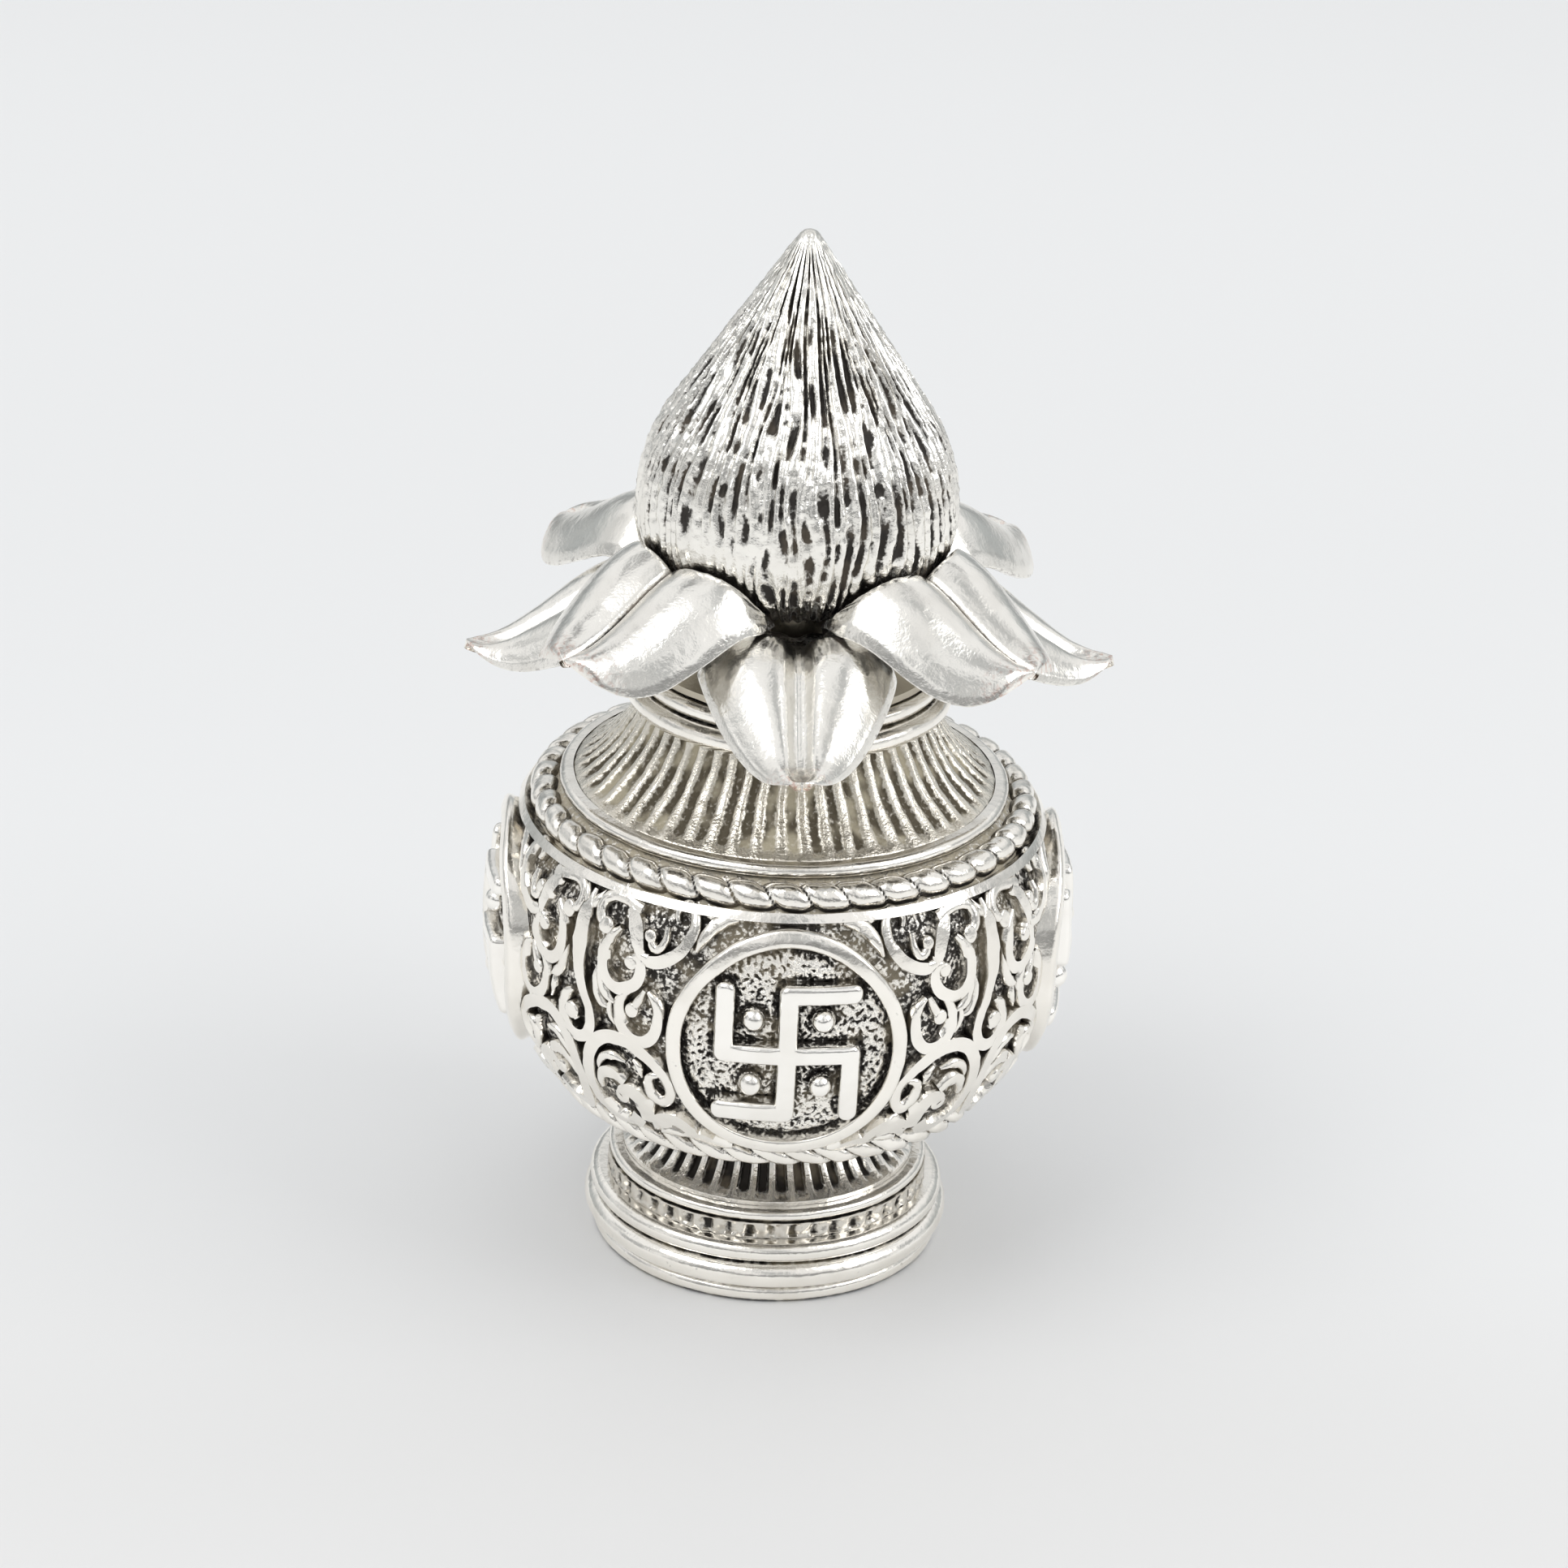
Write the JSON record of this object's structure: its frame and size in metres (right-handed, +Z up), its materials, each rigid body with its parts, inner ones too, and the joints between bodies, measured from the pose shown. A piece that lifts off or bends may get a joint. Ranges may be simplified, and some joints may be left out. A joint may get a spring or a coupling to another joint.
{
  "type": "kalash pot",
  "caption": "Footed round ritual pot with scrolled belly, fluted neck, lift-off leaf crown and coconut finial.",
  "frame": {"origin": "centre of the foot's underside, on the surface that the pot stands on", "axes": "+Z up along the axis of the pot to the coconut's tip, one medallion facing -Y"},
  "size_m": [0.0704, 0.0704, 0.1187],
  "materials": {
    "bright_silver": "silver-plated brass, polished",
    "antiqued_silver": "silver-plated brass, recesses darkened by antiquing",
    "leaf_silver": "silver-plated brass, bright with copper showing at the tips",
    "husk_silver": "silver-plated brass, chased fibres with dark grooves",
    "inner_silver": "silver-plated brass, matt"
  },
  "bodies": {
    "pot": {"base_plate": "inner_silver", "foot_base": "bright_silver", "foot_upper_roll": "bright_silver", "dentil_ring": "antiqued_silver", "collar_ring": "bright_silver", "fluted_stem": "antiqued_silver", "bowl": "antiqued_silver", "lower_rope": "bright_silver", "border_band": "bright_silver", "upper_rope": "bright_silver", "shoulder_bead": "bright_silver", "fluted_neck": "antiqued_silver", "rim_lower_bead": "bright_silver", "rim_upper_bead": "bright_silver", "scroll_panel_1": "bright_silver", "scroll_panel_2": "bright_silver", "scroll_panel_3": "bright_silver", "scroll_panel_4": "bright_silver", "medallion_ring_1": "bright_silver", "medallion_ring_2": "bright_silver", "medallion_ring_3": "bright_silver", "medallion_ring_4": "bright_silver", "medallion_plate_1": "antiqued_silver", "medallion_plate_2": "antiqued_silver", "medallion_plate_3": "antiqued_silver", "medallion_plate_4": "antiqued_silver", "medallion_symbol_1": "bright_silver", "medallion_symbol_2": "bright_silver", "medallion_symbol_3": "bright_silver", "medallion_symbol_4": "bright_silver"},
    "leaf_crown": {"crown_collar": "bright_silver", "crown_hub": "inner_silver", "lower_leaf_1": "leaf_silver", "lower_leaf_2": "leaf_silver", "lower_leaf_3": "leaf_silver", "lower_leaf_4": "leaf_silver", "upper_leaf_1": "leaf_silver", "upper_leaf_2": "leaf_silver", "upper_leaf_3": "leaf_silver", "upper_leaf_4": "leaf_silver"},
    "coconut": {"coconut_shell": "husk_silver", "coconut_peg": "inner_silver"}
  },
  "joints": [
    {"name": "crown_lift", "type": "slide", "parent": "pot", "child": "leaf_crown", "axis": [0, 0, 1], "range_m": [0, 0.025]},
    {"name": "coconut_lift", "type": "slide", "parent": "leaf_crown", "child": "coconut", "axis": [0, 0, 1], "range_m": [0, 0.015]}
  ]
}
